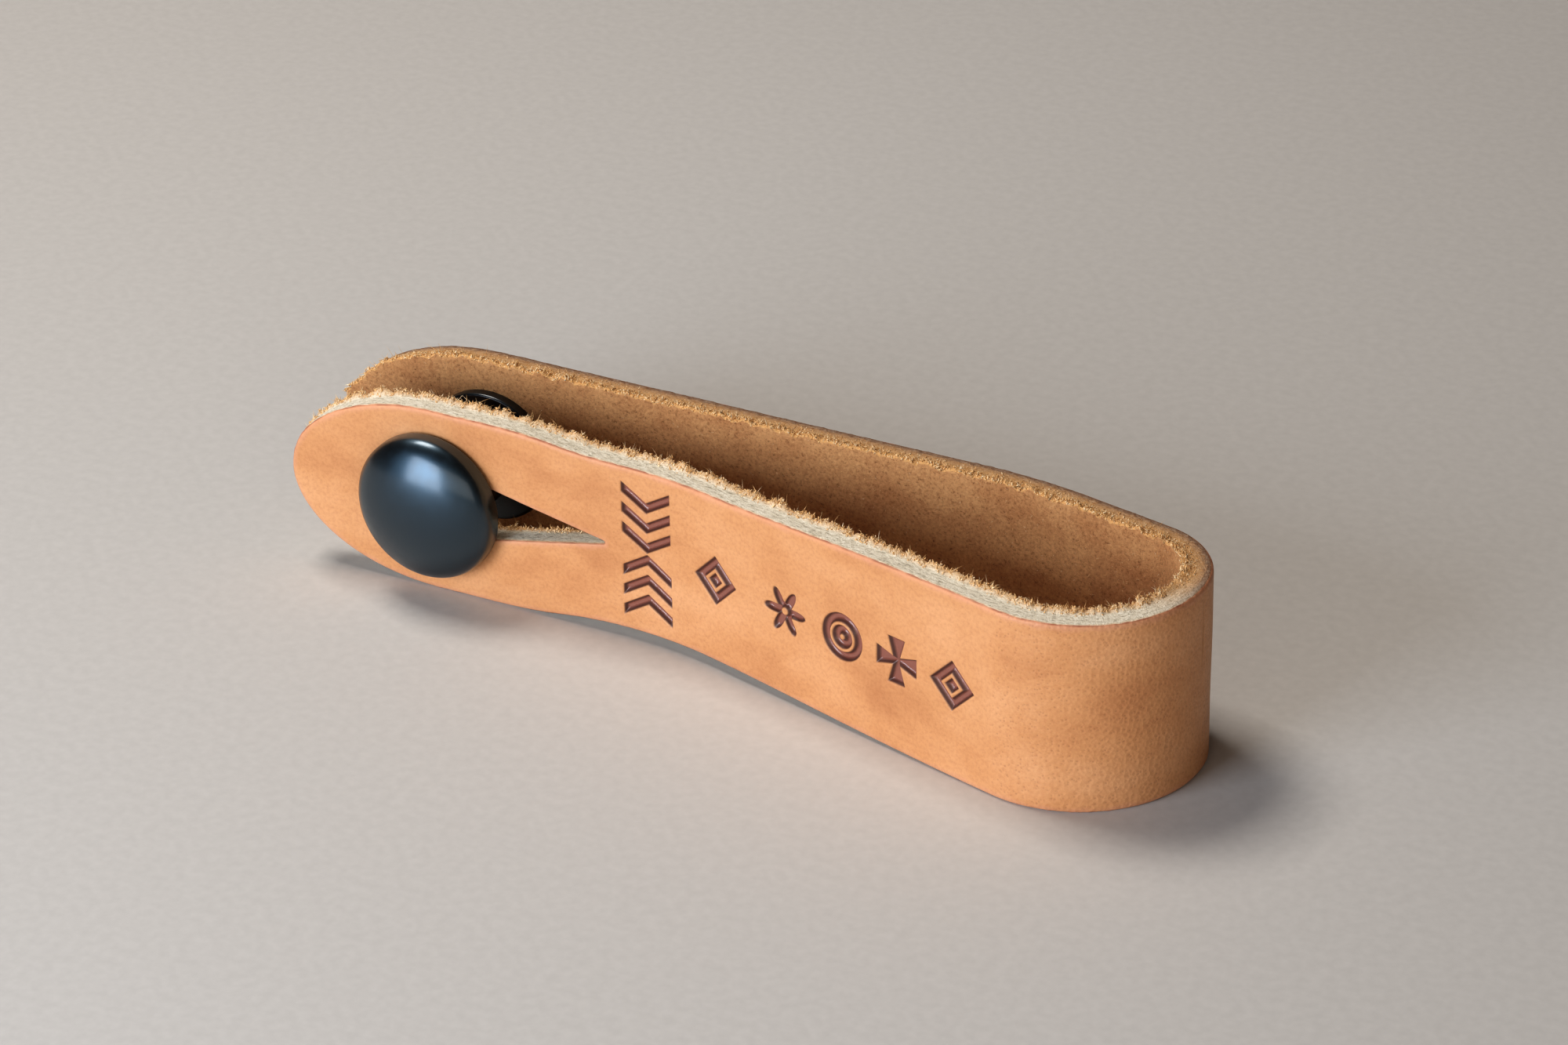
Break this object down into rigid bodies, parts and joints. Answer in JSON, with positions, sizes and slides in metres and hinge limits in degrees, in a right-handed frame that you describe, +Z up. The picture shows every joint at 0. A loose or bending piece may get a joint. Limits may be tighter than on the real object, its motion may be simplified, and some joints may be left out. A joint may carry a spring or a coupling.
{
  "type": "leather strap keeper",
  "caption": "Leather strip folded into a loop and buttoned shut: a keyhole slit in one rounded end slips over a large black domed stud fixed through the other.",
  "frame": {"origin": "middle of the bounding box at its bottom, on the surface that the strap's long edges stand on", "axes": "+X along the folded strap towards the fold, +Y towards the rear leaf and the screw, +Z up across the strap's width"},
  "size_m": [0.0996, 0.0266, 0.02],
  "materials": {
    "strap_leather": "satin",
    "black_cap": "gloss",
    "black_post": "satin",
    "black_screw": "satin"
  },
  "bodies": {
    "rear": {"rear_leaf": "strap_leather"},
    "fold": {"fold_band": "strap_leather"},
    "front": {"front_leaf": "strap_leather", "keyhole_tab": "strap_leather"},
    "stud": {"dome_cap": "black_cap", "stud_post": "black_post", "back_screw": "black_screw"}
  },
  "joints": [
    {"name": "rear_fold", "type": "hinge", "parent": "rear", "child": "fold", "pos_m": [0.04766, 0.00546, 0.01], "axis": [0, 0, 1], "range_deg": [0, 85]},
    {"name": "front_fold", "type": "hinge", "parent": "fold", "child": "front", "pos_m": [0.04488, -0.01075, 0.01], "axis": [0, 0, 1], "range_deg": [0, 85], "deforming": ["keyhole_tab"]},
    {"name": "stud_turn", "type": "hinge", "parent": "rear", "child": "stud", "pos_m": [-0.03225, 0.01195, 0.01], "axis": [0, 1, 0], "continuous": true}
  ],
  "couplings": [
    {"joint": "front_fold", "follows": "rear_fold", "ratio": 1}
  ]
}
